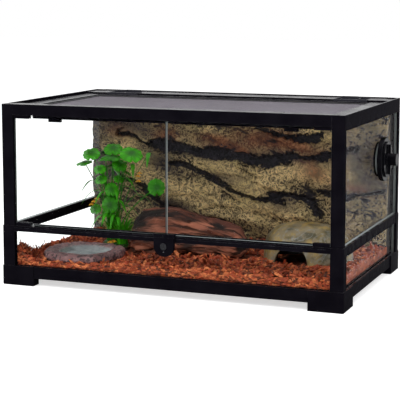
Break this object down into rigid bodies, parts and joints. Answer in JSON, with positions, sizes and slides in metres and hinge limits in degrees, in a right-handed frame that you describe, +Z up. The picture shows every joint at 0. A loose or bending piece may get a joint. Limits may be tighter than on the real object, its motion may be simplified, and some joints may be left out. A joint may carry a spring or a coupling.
{
  "type": "reptile terrarium",
  "caption": "Front opening glass terrarium with a lift-off screen cover, lockable hinged doors and a landscape of rock, bark and plants.",
  "frame": {"origin": "middle of the base, at floor level, of the box round the whole object", "axes": "+X to the right, +Y to the back, +Z up, seen from the doors"},
  "size_m": [0.5314, 0.3262, 0.2662],
  "materials": {
    "frame_plastic": "satin black moulding",
    "inlet_plastic": "satin dark grey moulding",
    "port_plastic": "satin black moulding",
    "pane_glass": "clear float glass with polished edges",
    "lock_steel": "turned and nickel plated",
    "mesh_steel": "woven wire, grey coated",
    "spline_rubber": "extruded cord",
    "rock_foam": "carved foam, painted grey, ochre and rust",
    "bark": "loose bark chips",
    "dish_resin": "cast stone with a smooth grey basin",
    "driftwood": "weathered reddish wood",
    "hide_resin": "cast and dry brushed olive stone",
    "leaf_plastic": "soft moulded leaves"
  },
  "bodies": {
    "tank": {"floor_glass": "pane_glass", "base_rail_front": "frame_plastic", "base_rail_back": "frame_plastic", "base_rail_left": "frame_plastic", "base_rail_right": "frame_plastic", "foot_front_left": "frame_plastic", "foot_front_right": "frame_plastic", "foot_back_left": "frame_plastic", "foot_back_right": "frame_plastic", "lower_post_front_left": "frame_plastic", "lower_post_front_right": "frame_plastic", "lower_post_back_left": "frame_plastic", "lower_post_back_right": "frame_plastic", "upper_post_front_left": "frame_plastic", "upper_post_front_right": "frame_plastic", "upper_post_back_left": "frame_plastic", "upper_post_back_right": "frame_plastic", "sill_bar": "frame_plastic", "side_bar_left": "frame_plastic", "side_bar_right": "frame_plastic", "top_rail_front": "frame_plastic", "top_rail_back": "frame_plastic", "top_rail_left": "frame_plastic", "top_rail_right": "frame_plastic", "lower_pane_front": "pane_glass", "lower_pane_left": "pane_glass", "lower_pane_right": "pane_glass", "upper_pane_left": "pane_glass", "upper_pane_right": "pane_glass", "back_pane": "pane_glass", "back_strip": "frame_plastic", "cable_inlet_left": "inlet_plastic", "cable_inlet_right": "inlet_plastic", "port_flange": "port_plastic", "port_nut": "port_plastic", "lock_body": "frame_plastic", "rock_background": "rock_foam", "bark_bedding": "bark", "water_dish": "dish_resin", "driftwood": "driftwood", "cave_hide": "hide_resin", "leafy_plant": "leaf_plastic", "grassy_plant": "leaf_plastic"},
    "door_left": {"door_glass_left": "pane_glass", "hinge_clips_left": "frame_plastic", "door_catch_left": "frame_plastic"},
    "door_right": {"door_glass_right": "pane_glass", "hinge_clips_right": "frame_plastic", "door_catch_right": "frame_plastic"},
    "lock_key": {"lock_cylinder": "lock_steel", "lock_cam": "lock_steel"},
    "screen_cover": {"screen_frame": "frame_plastic", "screen_mesh": "mesh_steel", "screen_spline": "spline_rubber"},
    "latch_left": {"screen_latch_left": "frame_plastic"},
    "latch_right": {"screen_latch_right": "frame_plastic"},
    "gate_left": {"cable_gate_left": "frame_plastic"},
    "gate_right": {"cable_gate_right": "frame_plastic"},
    "port_lid": {"port_cap": "port_plastic"}
  },
  "joints": [
    {"name": "door_left_hinge", "type": "hinge", "parent": "tank", "child": "door_left", "pos_m": [-0.2372, -0.15035, 0.165], "axis": [0, 0, -1], "range_deg": [0, 110]},
    {"name": "door_right_hinge", "type": "hinge", "parent": "tank", "child": "door_right", "pos_m": [0.2188, -0.15035, 0.165], "axis": [0, 0, 1], "range_deg": [0, 110]},
    {"name": "lock_turn", "type": "hinge", "parent": "tank", "child": "lock_key", "pos_m": [-0.0092, -0.15935, 0.0738], "axis": [0, -1, 0], "range_deg": [0, 90]},
    {"name": "screen_lift", "type": "slide", "parent": "tank", "child": "screen_cover", "axis": [0, 0, 1], "range_m": [0, 0.12]},
    {"name": "latch_left_turn", "type": "hinge", "parent": "tank", "child": "latch_left", "pos_m": [-0.1932, -0.14035, 0.25], "axis": [0, 0, -1], "range_deg": [-90, 0]},
    {"name": "latch_right_turn", "type": "hinge", "parent": "tank", "child": "latch_right", "pos_m": [0.1748, -0.14035, 0.25], "axis": [0, 0, 1], "range_deg": [-90, 0]},
    {"name": "gate_left_slide", "type": "slide", "parent": "tank", "child": "gate_left", "axis": [-1, 0, 0], "range_m": [0, 0.0225]},
    {"name": "gate_right_slide", "type": "slide", "parent": "tank", "child": "gate_right", "axis": [1, 0, 0], "range_m": [-0.0065, 0.016]},
    {"name": "port_lid_turn", "type": "hinge", "parent": "tank", "child": "port_lid", "pos_m": [0.2458, 0.06065, 0.1815], "axis": [1, 0, 0], "range_deg": [0, 90]}
  ]
}
